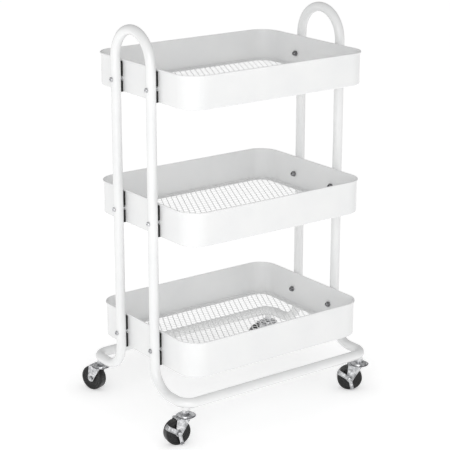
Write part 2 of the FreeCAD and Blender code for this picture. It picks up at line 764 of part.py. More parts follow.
def fork(prefix):
    """Pressed fork: a round crown that is the lower ball race, and two tapered legs."""
    body = new_body(f"{prefix}_fork")
    crown, metal = dim("fork_crown_height"), dim("fork_sheet")
    legs = new_sketch(body, "Legs", "XZ_Plane")
    draw_fork_leg(legs)
    pad(body, legs, FORK_FACE * 2, both_ways=True)
    gap = new_sketch(body, "Gap", "XZ_Plane")
    clear = dim("wheel_radius") * 2
    draw_polygon(gap, rectangle_corners(-clear, -metal, clear, crown))
    pocket(body, gap, dim("fork_gap"))
    disc = new_sketch(body, "Crown", "XY_Plane", crown)
    draw_circle(disc, 0, 0, dim("fork_crown_radius"))
    pad(body, disc, metal)
    lip = new_sketch(body, "Lip", "XY_Plane", crown)
    draw_circle(lip, 0, 0, dim("fork_crown_radius"))
    draw_circle(lip, 0, 0, dim("fork_crown_radius") - metal)
    pad(body, lip, dim("fork_lip_height"))
    stem_hole = new_sketch(body, "StemHole", "XY_Plane", crown)
    draw_circle(stem_hole, 0, 0, dim("fork_stem_hole_radius"))
    pocket(body, stem_hole, metal * 4)
    axle_holes = new_sketch(body, "AxleHoles", "XZ_Plane")
    draw_circle(axle_holes, dim("caster_trail"), AXLE_HEIGHT, dim("axle_hole_radius"))
    pocket(body, axle_holes, FORK_FACE * 4)
    return body


def wheel(prefix):
    """One-piece moulded wheel with a shallow dish in each face."""
    half, dish = dim("wheel_width") / 2, dim("wheel_width") / 2 - dim("wheel_dish_depth")
    bore = dim("bush_radius") + dim("bush_play")
    hub, dish_edge, tread = dim("wheel_hub_radius"), dim("wheel_dish_radius"), dim("wheel_radius")
    profile = [(bore, -half), (hub, -half), (hub, -dish), (dish_edge, -dish),
               (dish_edge, -half), (tread, -half), (tread, half), (dish_edge, half),
               (dish_edge, dish), (hub, dish), (hub, half), (bore, half)]
    body = turned(f"{prefix}_wheel", profile, role="XY_Plane")

    def is_tread_edge(edge):
        box = edge.BoundBox
        return box.XMax > tread.number - 0.01 and box.YLength < 0.01

    rounded(body, dim("wheel_rounding"), is_tread_edge)
    return body


def axle_bush(prefix):
    """Steel tube clamped between the fork's legs, for the wheel to turn on."""
    half, outer, bore = dim("bush_length") / 2, dim("bush_radius"), dim("bush_bore_radius")
    profile = rectangle_corners(bore, -half, outer, half)
    return turned(f"{prefix}_axle_bush", profile, role="XY_Plane")


def axle_bolt(prefix, packing):
    """Bolt through the legs and the bush, its round head outside whatever is packed under it."""
    nut_side = -(FORK_FACE + dim("axle_nut_height") + 1)
    seat = FORK_FACE + packing + dim("ball_play")
    crown = seat + dim("axle_head_height")
    shank, head = dim("axle_radius"), dim("axle_head_radius")
    profile = [(0, nut_side), (shank, nut_side), (shank, seat), (head, seat), (head, crown), (0, crown)]
    body = turned(f"{prefix}_axle_bolt", profile, role="XY_Plane")
    rounded(body, dim("axle_head_rounding"), lambda edge: edge.BoundBox.YMin > crown.number - 0.01)
    return body


def axle_nut(prefix):
    body = new_body(f"{prefix}_axle_nut")
    hexagon = new_sketch(body, "Hexagon", "XZ_Plane", FORK_FACE + dim("ball_play"))
    draw_polygon(hexagon, hex_corners(dim("axle_nut_flats")))
    pad(body, hexagon, dim("axle_nut_height"))
    bore = new_sketch(body, "Bore", "XZ_Plane")
    draw_circle(bore, 0, 0, dim("axle_hole_radius"))
    pocket(body, bore, FORK_FACE * 4)
    return body


def arm_corners(angle, start, end, half_width):
    """Corners of a straight arm that runs out from the sketch's origin at an angle."""
    turn = math.radians(dim(angle).number)
    along, across = (math.cos(turn), math.sin(turn)), (-math.sin(turn), math.cos(turn))
    sides = ((start, -1), (end, -1), (end, 1), (start, 1))
    return [(as_size(reach) * along[0] + half_width * (side * across[0]),
             as_size(reach) * along[1] + half_width * (side * across[1])) for reach, side in sides]


def brake_lever(prefix):
    """Stamped lever on the axle bolt: a pedal bent over the tread, and a toe to lift it off again."""
    body = new_body(f"{prefix}_brake_lever")
    metal = dim("lever_sheet")
    outer_face = FORK_FACE + LEVER_PLAY + metal
    half_width, toe_half_width = dim("lever_width") / 2, dim("release_half_width")
    pedal_end, toe_end = dim("pedal_reach"), dim("release_reach")
    hub = new_sketch(body, "Hub", "XZ_Plane", -outer_face)
    draw_circle(hub, 0, 0, dim("lever_hub_radius"))
    pad(body, hub, metal)
    pedal_arm = new_sketch(body, "PedalArm", "XZ_Plane", -outer_face)
    draw_polygon(pedal_arm, arm_corners("pedal_angle", 0, pedal_end, half_width))
    pad(body, pedal_arm, metal)
    toe_arm = new_sketch(body, "ToeArm", "XZ_Plane", -outer_face)
    draw_polygon(toe_arm, arm_corners("release_angle", 0, toe_end, toe_half_width))
    pad(body, toe_arm, metal)
    pedal = new_sketch(body, "Pedal", "XZ_Plane", -outer_face)
    draw_polygon(pedal, arm_corners("pedal_angle", pedal_end - metal, pedal_end, half_width))
    pad(body, pedal, dim("pedal_length"))
    toe = new_sketch(body, "Toe", "XZ_Plane", -(outer_face + dim("toe_length")))
    draw_polygon(toe, arm_corners("release_angle", toe_end - metal, toe_end, toe_half_width))
    pad(body, toe, dim("toe_length") + metal)
    bore = new_sketch(body, "Bore", "XZ_Plane")
    draw_circle(bore, 0, 0, dim("lever_bore_radius"))
    pocket(body, bore, FORK_FACE * 4)
    return body


def caster(prefix, side_x, side_y, braked):
    """All the pieces of one caster, standing under its corner of the base rails."""
    turn = dim(f"{prefix}_angle")
    packing = dim("lever_sheet") + LEVER_PLAY if braked else as_size(0)
    about_stem = [caster_stem(prefix), swivel_cup(prefix), ball_ring(prefix), fork(prefix)]
    about_axle = [wheel(prefix), axle_bush(prefix), axle_bolt(prefix, packing), axle_nut(prefix)]
    if braked:
        about_axle.append(brake_lever(prefix))
    stem_x, stem_y = STEM_X * side_x, STEM_Y * side_y
    radians = math.radians(turn.number)
    wheel_x = stem_x + dim("caster_trail") * math.cos(radians)
    wheel_y = stem_y + dim("caster_trail") * math.sin(radians)
    for piece in about_stem:
        place(piece, stem_x, stem_y, turn=turn)
    for piece in about_axle:
        place(piece, wheel_x, wheel_y, AXLE_HEIGHT, turn)
    return about_stem + about_axle


# ---------------------------------------------------------------- the whole cart

pieces = [hoop("left_hoop", -1), hoop("right_hoop", 1)]
pieces += [base_rail("front_base_rail", -1), base_rail("rear_base_rail", 1)]
for tier in TIERS:
    pieces += [tray(tier), mesh_floor(tier), spacers(tier), screws(tier), cap_nuts(tier)]
for prefix, side_x, side_y in (("front_left", -1, -1), ("front_right", 1, -1),
                               ("back_left", -1, 1), ("back_right", 1, 1)):
    pieces += caster(prefix, side_x, side_y, braked=side_y < 0)
doc.recompute()

for thing in doc.Objects:
    if "Invalid" in thing.State or "Error" in thing.State:
        raise RuntimeError(f"{thing.Label} failed: {thing.State}")

os.makedirs("parts", exist_ok=True)
whole = FreeCAD.BoundBox()
for piece in pieces:
    shape = piece.Shape
    if shape.isNull() or not shape.isValid() or not shape.Solids:
        raise RuntimeError(f"{piece.Label} has no sound solid")
    whole.add(shape.optimalBoundingBox())
    shape.exportStep(os.path.join("parts", f"{piece.Label}.step"))
print(len(pieces), "sub-parts")
low = [round(value, 2) for value in (whole.XMin, whole.YMin, whole.ZMin)]
high = [round(value, 2) for value in (whole.XMax, whole.YMax, whole.ZMax)]
print("box", low, high)
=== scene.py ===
"""Looks of the rolling utility cart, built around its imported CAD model.

Lengths are in metres, unless a comment says millimetres. Where each piece stands comes from the
CAD nodes' boxes and from the joints.
"""

import json
import math

import bmesh
import bpy
from mathutils import Matrix, Vector


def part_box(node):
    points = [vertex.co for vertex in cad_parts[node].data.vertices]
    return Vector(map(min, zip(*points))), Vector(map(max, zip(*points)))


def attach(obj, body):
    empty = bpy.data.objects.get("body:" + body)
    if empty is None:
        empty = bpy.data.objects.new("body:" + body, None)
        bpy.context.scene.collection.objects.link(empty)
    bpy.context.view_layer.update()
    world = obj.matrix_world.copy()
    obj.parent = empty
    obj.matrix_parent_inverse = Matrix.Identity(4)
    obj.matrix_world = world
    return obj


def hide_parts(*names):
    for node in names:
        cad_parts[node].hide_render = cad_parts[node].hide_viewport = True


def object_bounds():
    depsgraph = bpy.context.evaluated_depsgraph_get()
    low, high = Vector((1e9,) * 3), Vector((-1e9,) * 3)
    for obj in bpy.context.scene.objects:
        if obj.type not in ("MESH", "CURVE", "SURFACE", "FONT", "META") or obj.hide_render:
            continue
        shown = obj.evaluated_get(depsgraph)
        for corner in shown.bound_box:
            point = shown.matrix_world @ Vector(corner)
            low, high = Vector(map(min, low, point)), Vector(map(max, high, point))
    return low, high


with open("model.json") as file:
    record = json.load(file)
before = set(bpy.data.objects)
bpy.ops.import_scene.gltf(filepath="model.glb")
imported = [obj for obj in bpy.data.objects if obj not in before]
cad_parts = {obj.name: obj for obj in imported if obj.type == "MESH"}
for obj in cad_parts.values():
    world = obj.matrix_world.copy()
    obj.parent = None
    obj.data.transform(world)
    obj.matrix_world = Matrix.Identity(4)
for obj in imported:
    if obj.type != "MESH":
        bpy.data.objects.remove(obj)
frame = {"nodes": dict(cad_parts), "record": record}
cad_low, cad_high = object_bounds()
scene = bpy.context.scene

MM = 0.001
TIERS = ("top", "middle", "bottom")
CASTERS = ("front_left", "front_right", "back_left", "back_right")
JOINTS = {joint["name"]: joint for joint in frame["record"]["behaviour"]["joints"]}


# ---------------------------------------------------------------- node materials

# Most of a noise texture's values lie between these two
NOISE_LOW = 0.3
NOISE_HIGH = 0.7


class Shader:
    """A Principled material and short ways to drive its sockets with noise."""

    def __init__(self, name, **values):
        self.material = bpy.data.materials.new(name)
        self.material.use_nodes = True
        self.tree = self.material.node_tree
        self.surface = self.tree.nodes["Principled BSDF"]
        self.place = self.tree.nodes.new("ShaderNodeTexCoord").outputs["Object"]
        for socket, value in values.items():
            title = socket.replace("_", " ").title().replace("Ior", "IOR")
            self.surface.inputs[title].default_value = value

    def link(self, source, target):
        self.tree.links.new(source, target)

    def noise(self, size, detail=2.0):
        """Noise whose blobs are about size across."""
        node = self.tree.nodes.new("ShaderNodeTexNoise")
        node.inputs["Scale"].default_value = 1 / size
        node.inputs["Detail"].default_value = detail
        self.link(self.place, node.inputs["Vector"])
        return node.outputs["Fac"]

    def spread(self, source, low, high):
        """Source's middle range mapped to low..high."""
        node = self.tree.nodes.new("ShaderNodeMapRange")
        node.inputs["From Min"].default_value = NOISE_LOW
        node.inputs["From Max"].default_value = NOISE_HIGH
        node.inputs["To Min"].default_value = low
        node.inputs["To Max"].default_value = high
        self.link(source, node.inputs["Value"])
        return node.outputs["Result"]

    def roughness(self, source, low, high):
        """Roughness that wanders between two values with source."""
        self.link(self.spread(source, low, high), self.surface.inputs["Roughness"])

    def colour(self, source, low, high):
        """Base colour that wanders between two colours with source."""
        node = self.tree.nodes.new("ShaderNodeValToRGB")
        node.color_ramp.elements[0].position = NOISE_LOW
        node.color_ramp.elements[1].position = NOISE_HIGH
        node.color_ramp.elements[0].color = (*low, 1)
        node.color_ramp.elements[1].color = (*high, 1)
        self.link(source, node.inputs["Fac"])
        self.link(node.outputs["Color"], self.surface.inputs["Base Color"])

    def bump(self, *layers):
        """Stacked bumps; each layer is (height source, strength, height)."""
        normal = None
        for source, strength, height in layers:
            node = self.tree.nodes.new("ShaderNodeBump")
            node.inputs["Strength"].default_value = strength
            node.inputs["Distance"].default_value = height
            self.link(source, node.inputs["Height"])
            if normal is not None:
                self.link(normal, node.inputs["Normal"])
            normal = node.outputs["Normal"]
        self.link(normal, self.surface.inputs["Normal"])


def powder_coat():
    """White powder coat: an even gloss with a fine orange peel."""
    shader = Shader(
        "white powder coat", specular_ior_level=0.5, coat_weight=0.6, coat_roughness=0.12
    )
    shader.colour(shader.noise(60 * MM), (0.815, 0.82, 0.822), (0.845, 0.848, 0.845))
    shader.roughness(shader.noise(9 * MM), 0.3, 0.4)
    shader.bump(
        (shader.noise(2.2 * MM), 0.10, 0.1 * MM),
        (shader.noise(0.5 * MM), 0.06, 0.03 * MM),
    )
    return shader.material


def chrome():
    """Bright plated stampings: wavy, with grey patches that imitate dark reflections."""
    shader = Shader("bright chrome", metallic=1.0)
    shader.colour(shader.noise(6 * MM), (0.30, 0.305, 0.315), (0.80, 0.805, 0.82))
    shader.roughness(shader.noise(3 * MM, 4), 0.07, 0.24)
    shader.bump(
        (shader.noise(6 * MM), 0.6, 1.2 * MM),
        (shader.noise(0.4 * MM), 0.05, 0.02 * MM),
    )
    return shader.material


def painted_reflection_chrome():
    """Chrome of the domed nuts, painted dark with painted reflections and small painted highlights.
    """
    shader = Shader("chrome with painted reflections", metallic=1.0)
    # Painted colour: mostly dark reflection, with small spots of painted highlight
    shader.colour(shader.noise(3 * MM), (0.03, 0.03, 0.032), (0.42, 0.42, 0.43))
    shader.roughness(shader.noise(1.5 * MM, 4), 0.08, 0.25)
    shader.bump(
        (shader.noise(2 * MM), 0.4, 0.4 * MM),
        (shader.noise(0.3 * MM), 0.05, 0.02 * MM),
    )
    return shader.material


def bearing_steel():
    """Plain oiled steel of the balls and bushes."""
    shader = Shader("oiled steel", metallic=1.0)
    shader.colour(shader.noise(2 * MM), (0.36, 0.36, 0.37), (0.5, 0.5, 0.5))
    shader.roughness(shader.noise(1 * MM, 4), 0.18, 0.35)
    shader.bump((shader.noise(0.6 * MM), 0.1, 0.03 * MM))
    return shader.material


def spacer_plastic():
    """Matt moulded black plastic."""
    shader = Shader("black moulded plastic", specular_ior_level=0.35)
    shader.colour(shader.noise(4 * MM), (0.008, 0.008, 0.008), (0.016, 0.016, 0.016))
    shader.roughness(shader.noise(1.5 * MM, 3), 0.5, 0.68)
    shader.bump((shader.noise(0.6 * MM, 3), 0.2, 0.05 * MM))
    return shader.material


def wheel_plastic():
    """Satin black nylon for the wheels, uneven in its gloss."""
    shader = Shader("black wheel nylon", specular_ior_level=0.45)
    shader.colour(shader.noise(6 * MM), (0.004, 0.004, 0.0045), (0.010, 0.010, 0.0105))
    shader.roughness(shader.noise(2.5 * MM, 4), 0.22, 0.4)
    shader.bump(
        (shader.noise(3 * MM), 0.12, 0.1 * MM),
        (shader.noise(0.5 * MM, 3), 0.15, 0.04 * MM),
    )
    return shader.material


# The finish of each material slot in the record
FINISH = {
    "white_powder_coat": powder_coat(),
    "chrome": chrome(),
    "bearing_steel": bearing_steel(),
    "black_plastic": spacer_plastic(),
    "black_wheel_plastic": wheel_plastic(),
}
# The domed nuts share the chrome slot, but are painted dark with painted reflections and highlights
NUT_PAINTED_REFLECTION = painted_reflection_chrome()


def dress_cad_nodes():
    """Gives every CAD node the finish of its slot, and the domed nuts chrome with painted
    reflections.
    """
    for part in frame["record"]["subparts"]:
        node = frame["nodes"][part["node"]]
        finish = NUT_PAINTED_REFLECTION if part["node"].endswith("cap_nuts") else FINISH[part["material_slot"]]
        for slot in node.material_slots:
            slot.material = finish


# ---------------------------------------------------------------- mesh helpers


def add_piece(name, mesh_builder, body, slot, replaced):
    """Turns a bmesh into a piece that rides on a body and stands for a CAD node."""
    mesh = bpy.data.meshes.new(name)
    mesh_builder.to_mesh(mesh)
    mesh_builder.free()
    piece = bpy.data.objects.new(name, mesh)
    scene.collection.objects.link(piece)
    mesh.materials.append(FINISH[slot])
    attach(piece, body)
    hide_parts(replaced)
    return piece


def smooth(piece, angle):
    """Smooth shading, with the edges sharper than angle degrees kept crisp."""
    piece.data.polygons.foreach_set("use_smooth", [True] * len(piece.data.polygons))
    piece.data.set_sharp_from_angle(angle=math.radians(angle))


def rounded_corners(half_x, half_y, radius, steps=10):
    """Points round a rectangle with rounded corners, anticlockwise about the origin."""
    points = []
    for quarter, (sx, sy) in enumerate(((1, 1), (-1, 1), (-1, -1), (1, -1))):
        for step in range(steps + 1):
            angle = (quarter + step / steps) * math.pi / 2
            x = sx * (half_x - radius) + radius * math.cos(angle)
            y = sy * (half_y - radius) + radius * math.sin(angle)
            points.append((x, y))
    return points


def in_rounded_rectangle(x, y, half_x, half_y, radius):
    """Whether a point is inside a rectangle with rounded corners about the origin."""
    past_x = max(abs(x) - (half_x - radius), 0)
    past_y = max(abs(y) - (half_y - radius), 0)
    return math.hypot(past_x, past_y) <= radius


# ---------------------------------------------------------------- expanded-metal floors

# Half of a diamond's width and length, from bond to bond
ACROSS = 6 * MM
ALONG = 12 * MM
# Half of a strand's width at a diamond's side and at its points
STRAND_HALF = 0.95 * MM
BOND_HALF = 2.2 * MM
# How far the strands' inner edges lie over the sheet on one side of a diamond, and under it on
# the other
STRAND_TILT = 0.3 * MM
SHEET_THICKNESS = 0.4 * MM
FLOOR_BORDER = 9 * MM
FLOOR_CORNER = 35 * MM
# How far over the border the middle of a cut diamond may lie
CUT_OVERLAP = 1.2 * MM


def add_diamonds(grid, half_x, half_y, radius):
    """Cut and stretched diamonds that point along Y, each framed by four leaning strands."""
    shared = {}

    def bond(column, row):
        """The vertex in the middle of a bond, made once for the diamonds that meet there."""
        key = (column, row)
        if key not in shared:
            shared[key] = grid.verts.new((column * ACROSS, row * ALONG, 0))
        return shared[key]

    columns = math.ceil(half_x / ACROSS) + 1
    rows = math.ceil(half_y / ALONG) + 1
    reach_x = ACROSS - STRAND_HALF
    reach_y = ALONG - BOND_HALF
    for row in range(-rows, rows + 1):
        for column in range(-columns, columns + 1):
            x = column * ACROSS
            y = row * ALONG
            if (column + row) % 2 or not in_rounded_rectangle(x, y, half_x, half_y, radius):
                continue
            outer = [
                bond(column + 1, row),
                bond(column, row + 1),
                bond(column - 1, row),
                bond(column, row - 1),
            ]
            inner = [
                grid.verts.new((x + reach_x, y, STRAND_TILT)),
                grid.verts.new((x, y + reach_y, 0)),
                grid.verts.new((x - reach_x, y, -STRAND_TILT)),
                grid.verts.new((x, y - reach_y, 0)),
            ]
            for corner in range(4):
                after = (corner + 1) % 4
                grid.faces.new((outer[corner], outer[after], inner[after], inner[corner]))


def mesh_floor(tier):
    """One tray's expanded-metal floor with its flat border."""
    node = f"{tier}_mesh_floor"
    low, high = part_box(node)
    middle = (low + high) / 2
    half_x = (high.x - low.x) / 2
    half_y = (high.y - low.y) / 2
    grid = bmesh.new()
    inner_x, inner_y = half_x - FLOOR_BORDER, half_y - FLOOR_BORDER
    inner_radius = FLOOR_CORNER - FLOOR_BORDER
    add_diamonds(grid, inner_x + CUT_OVERLAP, inner_y + CUT_OVERLAP, inner_radius)
    outer_edge = rounded_corners(half_x, half_y, FLOOR_CORNER)
    inner_edge = rounded_corners(inner_x, inner_y, inner_radius)
    outer = [grid.verts.new((x, y, 0)) for x, y in outer_edge]
    inner = [grid.verts.new((x, y, 0)) for x, y in inner_edge]
    for index in range(len(outer)):
        after = (index + 1) % len(outer)
        grid.faces.new((outer[index], outer[after], inner[after], inner[index]))
    bmesh.ops.recalc_face_normals(grid, faces=grid.faces)
    grid.transform(Matrix.Translation(middle))
    piece = add_piece(f"{tier}_expanded_metal", grid, "cart", "white_powder_coat", node)
    solid = piece.modifiers.new("thickness", "SOLIDIFY")
    solid.thickness = SHEET_THICKNESS
    solid.offset = 0


# ---------------------------------------------------------------- casters

# Steps round a wheel and round a dish, and the sharpest edges that are shaded smooth, in degrees
WHEEL_STEPS = 72
DISH_STEPS = 64
WHEEL_SMOOTH_ANGLE = 28
STEEL_SMOOTH_ANGLE = 32
# Vertices closer than this are one
SAME_PLACE = 1e-6


def caster_place(caster):
    """Matrix from a caster's own frame to the cart's.

    X trails from the stem to the wheel, Y runs along the axle, and the origin is on the floor
    under the stem.
    """
    swivel = Vector(JOINTS[f"{caster}_caster_swivel"]["pos_m"])
    wheel = Vector(JOINTS[f"{caster}_wheel_roll"]["pos_m"])
    trail = Vector((wheel.x - swivel.x, wheel.y - swivel.y, 0)).normalized()
    up = Vector((0, 0, 1))
    across = up.cross(trail)
    turn = Matrix((trail, across, up)).transposed().to_4x4()
    return Matrix.Translation((swivel.x, swivel.y, 0)) @ turn


def wheel_centre(caster):
    """The wheel's middle in the caster's own frame."""
    return caster_place(caster).inverted() @ Vector(JOINTS[f"{caster}_wheel_roll"]["pos_m"])


def lathe(profile):
    """A closed (radius, along) outline turned about the Y axis through the origin."""
    turned = bmesh.new()
    verts = [turned.verts.new((radius, along, 0)) for radius, along in profile]
    edges = [turned.edges.new(ends) for ends in zip(verts, verts[1:] + verts[:1])]
    bmesh.ops.spin(
        turned,
        geom=verts + edges,
        cent=(0, 0, 0),
        axis=(0, 1, 0),
        angle=math.tau,
        steps=WHEEL_STEPS,
        use_merge=True,
    )
    bmesh.ops.remove_doubles(turned, verts=turned.verts, dist=SAME_PLACE)
    bmesh.ops.recalc_face_normals(turned, faces=turned.faces)
    return turned


def wheel_profile():
    """Half section of a moulded wheel: crowned tread, shoulder, ringed web and hub.

    The side is (radius, along) in millimetres, from the tread's middle to the axle's bore.
    """
    side = [
        (25.0, 5.5), (24.85, 7.2), (24.2, 8.5), (23.0, 9.0), (20.6, 9.0), (20.2, 8.6), (19.8, 8.0),
        (19.2, 7.7), (17.6, 7.5), (17.2, 7.9), (16.4, 7.9), (16.0, 7.3), (12.6, 6.9), (12.2, 7.3),
        (11.4, 7.3), (11.0, 6.9), (9.4, 6.9), (8.9, 7.4), (8.5, 9.0), (4.6, 9.0), (4.1, 8.6),
    ]
    section = side + [(radius, -along) for radius, along in reversed(side)]
    return [(radius * MM, along * MM) for radius, along in section]


def wheel(caster):
    """One moulded wheel on its axle."""
    turned = lathe(wheel_profile())
    turned.transform(caster_place(caster) @ Matrix.Translation(wheel_centre(caster)))
    piece = add_piece(
        f"{caster}_moulded_wheel",
        turned,
        f"{caster}_roller",
        "black_wheel_plastic",
        f"{caster}_wheel",
    )
    smooth(piece, WHEEL_SMOOTH_ANGLE)


# The fork: its legs stand GAP_HALF either side of the wheel's middle, from LEG_REAR to LEG_FORE
# along the trail under the crown, and end round the axle
PLATE = 1.6 * MM
GAP_HALF = 10 * MM
CROWN_UNDERSIDE = 51 * MM
FOOT_RADIUS = 7 * MM
FOOT_STEPS = 16
LEG_REAR = -6 * MM
LEG_FORE = 23 * MM
FORK_RIM_WIDTH = 1.5 * MM
FORK_RIM_HEIGHT = 0.6 * MM
# The brake lever: a hub with two arms, whose angles are in degrees from the trail
LEVER_PLATE = 1.5 * MM
LEVER_PLAY = 0.1 * MM
LEVER_SEAT = GAP_HALF + PLATE + LEVER_PLAY
LEVER_HUB = 6.5 * MM
LEVER_HUB_STEPS = 10
LEVER_RIM_WIDTH = 1.2 * MM
LEVER_RIM_HEIGHT = 0.7 * MM
PEDAL_REACH = 28.5 * MM
PEDAL_ANGLE = 33
PEDAL_HALF = 4.5 * MM
PEDAL_LENGTH = 12 * MM
TOE_REACH = 22 * MM
TOE_ANGLE = 257
TOE_HALF = 3.4 * MM
TOE_LENGTH = 3.5 * MM
# Rounding of a stamping's edges, and the width of the slope inside its rim
BACK_EDGE = 0.3 * MM
FACE_EDGE = 0.4 * MM
RIM_SLOPE = 0.5 * MM
BAR_BEVEL = 0.4 * MM
BAR_CORNER_STEPS = 3
# A corner of an outline is moved by at most the distance over this
MITRE_LIMIT = 0.6
# Sections of the two rolled dishes, as (radius, height) in millimetres
CROWN_SECTION = (
    (4.2, 51.1), (14.6, 51.1), (17.6, 51.9), (18.7, 53.0), (19.0, 53.6), (18.6, 53.9), (18.0, 53.8),
    (17.2, 53.0), (15.8, 52.6), (4.2, 52.6),
)
CUP_SECTION = (
    (4.2, 55.9), (12.3, 55.9), (13.9, 55.2), (14.7, 53.6), (15.3, 53.5), (15.9, 53.8), (15.6, 54.9),
    (14.8, 56.2), (13.2, 56.9), (9.6, 57.1), (4.2, 57.1),
)


def polar(radius, degrees):
    """A point at that radius and angle, in X and Z."""
    angle = math.radians(degrees)
    return Vector((radius * math.cos(angle), radius * math.sin(angle)))


def leg_outline(axle):
    """A fork leg's edge, anticlockwise in X and Z: wide at the crown, wrapped round the axle."""
    top = CROWN_UNDERSIDE + PLATE / 2
    fore, rear = Vector((LEG_FORE, top)), Vector((LEG_REAR, top))
    to_rear, to_fore = rear - axle, fore - axle
    first = math.atan2(to_rear.y, to_rear.x) + math.acos(FOOT_RADIUS / to_rear.length)
    last = math.atan2(to_fore.y, to_fore.x) - math.acos(FOOT_RADIUS / to_fore.length) + math.tau
    points = [fore, rear]
    for step in range(FOOT_STEPS + 1):
        turn = first + (last - first) * step / FOOT_STEPS
        points.append(axle + polar(FOOT_RADIUS, math.degrees(turn)))
    return points


def lever_outline(axle):
    """The brake lever's edge, anticlockwise: pedal arm, round hub and toe arm."""
    points = []
    arms = ((PEDAL_ANGLE, PEDAL_HALF, PEDAL_REACH), (TOE_ANGLE, TOE_HALF, TOE_REACH))
    for (angle, half, reach), (next_angle, next_half, _) in zip(arms, arms[1:] + arms[:1]):
        across = polar(half, angle + 90)
        end = polar(reach, angle)
        points += [axle + end - across, axle + end + across]
        start = angle + math.degrees(math.asin(half / LEVER_HUB))
        stop = next_angle - math.degrees(math.asin(next_half / LEVER_HUB))
        if stop < start:
            stop += 360
        for step in range(LEVER_HUB_STEPS + 1):
            turn = start + (stop - start) * step / LEVER_HUB_STEPS
            points.append(axle + polar(LEVER_HUB, turn))
    return points


def inset(points, distance):
    """Corners of an anticlockwise outline moved inwards by about a distance."""
    moved = []
    for index, point in enumerate(points):
        before = (point - points[index - 1]).normalized()
        after = (points[(index + 1) % len(points)] - point).normalized()
        along = (before + after).normalized()
        inward = Vector((-along.y, along.x))
        opened = max(inward.dot(Vector((-after.y, after.x))), MITRE_LIMIT)
        moved.append(point + inward * distance / opened)
    return moved


def bridge_rows(builder, rows):
    """Quads between equal rings of vertices, with the first and last ring closed by a face."""
    for low, high in zip(rows, rows[1:]):
        for index in range(len(low)):
            after = (index + 1) % len(low)
            builder.faces.new((low[index], low[after], high[after], high[index]))
    builder.faces.new(rows[0])
    builder.faces.new(rows[-1])


def stamped_plate(builder, outline, back, face, rim_width, rim_height):
    """A pressed plate in the XZ plane, from back to face along Y, with a rim round its field."""
    outward = 1 if face > back else -1
    rings = [
        (inset(outline, BACK_EDGE), back),
        (outline, back + outward * BACK_EDGE),
        (outline, face - outward * FACE_EDGE),
        (inset(outline, FACE_EDGE), face),
        (inset(outline, rim_width), face),
        (inset(outline, rim_width + RIM_SLOPE), face - outward * rim_height),
    ]
    rows = []
    for ring, along in rings:
        rows.append([builder.verts.new((point.x, along, point.y)) for point in ring])
    bridge_rows(builder, rows)


def flat_bar(builder, place, size_x, size_y, size_z):
    """A bar with bevelled edges about the origin of its own frame."""
    half_x, half_y, half_z = size_x / 2, size_y / 2, size_z / 2
    levels = (
        (-half_z, BAR_BEVEL),
        (BAR_BEVEL - half_z, 0),
        (half_z - BAR_BEVEL, 0),
        (half_z, BAR_BEVEL),
    )
    rings = []
    for z, shrink in levels:
        edge = rounded_corners(
            half_x - shrink, half_y - shrink, BAR_BEVEL * 2, steps=BAR_CORNER_STEPS
        )
        rings.append([builder.verts.new(place @ Vector((x, y, z))) for x, y in edge])
    bridge_rows(builder, rings)


def turn_about_z(builder, profile):
    """A closed (radius, height) outline in millimetres turned about the Z axis."""
    rows = []
    for step in range(DISH_STEPS):
        turn = math.tau * step / DISH_STEPS
        across, along = math.cos(turn) * MM, math.sin(turn) * MM
        row = []
        for radius, height in profile:
            row.append(builder.verts.new((radius * across, radius * along, height * MM)))
        rows.append(row)
    for low, high in zip(rows, rows[1:] + rows[:1]):
        for index in range(len(profile)):
            after = (index + 1) % len(profile)
            builder.faces.new((low[index], low[after], high[after], high[index]))


def stamped_fork(caster):
    """Crown dish, top plate and two rimmed legs of one pressed fork, as overlapping shells."""
    builder = bmesh.new()
    axle = wheel_centre(caster)
    outline = leg_outline(Vector((axle.x, axle.z)))
    for side in (-1, 1):
        back, face = side * GAP_HALF, side * (GAP_HALF + PLATE)
        stamped_plate(builder, outline, back, face, FORK_RIM_WIDTH, FORK_RIM_HEIGHT)
    middle = Vector(((LEG_REAR + LEG_FORE) / 2, 0, CROWN_UNDERSIDE + PLATE / 2))
    length, width = LEG_FORE - LEG_REAR, 2 * (GAP_HALF + PLATE)
    flat_bar(builder, Matrix.Translation(middle), length, width, PLATE)
    turn_about_z(builder, CROWN_SECTION)
    finish_caster_piece(builder, caster, "stamped_fork", "swivel", "fork")


def dished_cup(caster):
    """The swivel's upper race, a rolled dish with a step round the stem."""
    builder = bmesh.new()
    turn_about_z(builder, CUP_SECTION)
    finish_caster_piece(builder, caster, "dished_cup", "", "swivel_cup")


def brake_lever(caster):
    """A rimmed lever with a pedal bent over the tread and a toe bent outwards."""
    builder = bmesh.new()
    axle = wheel_centre(caster)
    centre = Vector((axle.x, axle.z))
    face = LEVER_SEAT + LEVER_PLATE
    outline = lever_outline(centre)
    stamped_plate(builder, outline, LEVER_SEAT, face, LEVER_RIM_WIDTH, LEVER_RIM_HEIGHT)
    ends = (
        (PEDAL_ANGLE, PEDAL_REACH, PEDAL_HALF, face - PEDAL_LENGTH, face),
        (TOE_ANGLE, TOE_REACH, TOE_HALF, LEVER_SEAT, face + TOE_LENGTH),
    )
    for angle, reach, half, low, high in ends:
        spot = centre + polar(reach - LEVER_PLATE / 2, angle)
        turn = Matrix.Rotation(math.radians(90 - angle), 4, "Y")
        place = Matrix.Translation((spot.x, (low + high) / 2, spot.y)) @ turn
        flat_bar(builder, place, half * 2, high - low, LEVER_PLATE)
    finish_caster_piece(builder, caster, "stamped_brake_lever", "brake", "brake_lever")


def finish_caster_piece(builder, caster, name, rides, node):
    """Moves a chromed piece from the caster's own frame to the cart, in a CAD node's place.

    It rides the caster's body of that name, or the cart if rides is empty.
    """
    bmesh.ops.recalc_face_normals(builder, faces=builder.faces)
    builder.transform(caster_place(caster))
    body = f"{caster}_{rides}" if rides else "cart"
    piece = add_piece(f"{caster}_{name}", builder, body, "chrome", f"{caster}_{node}")
    smooth(piece, STEEL_SMOOTH_ANGLE)


# ---------------------------------------------------------------- floor, light and camera

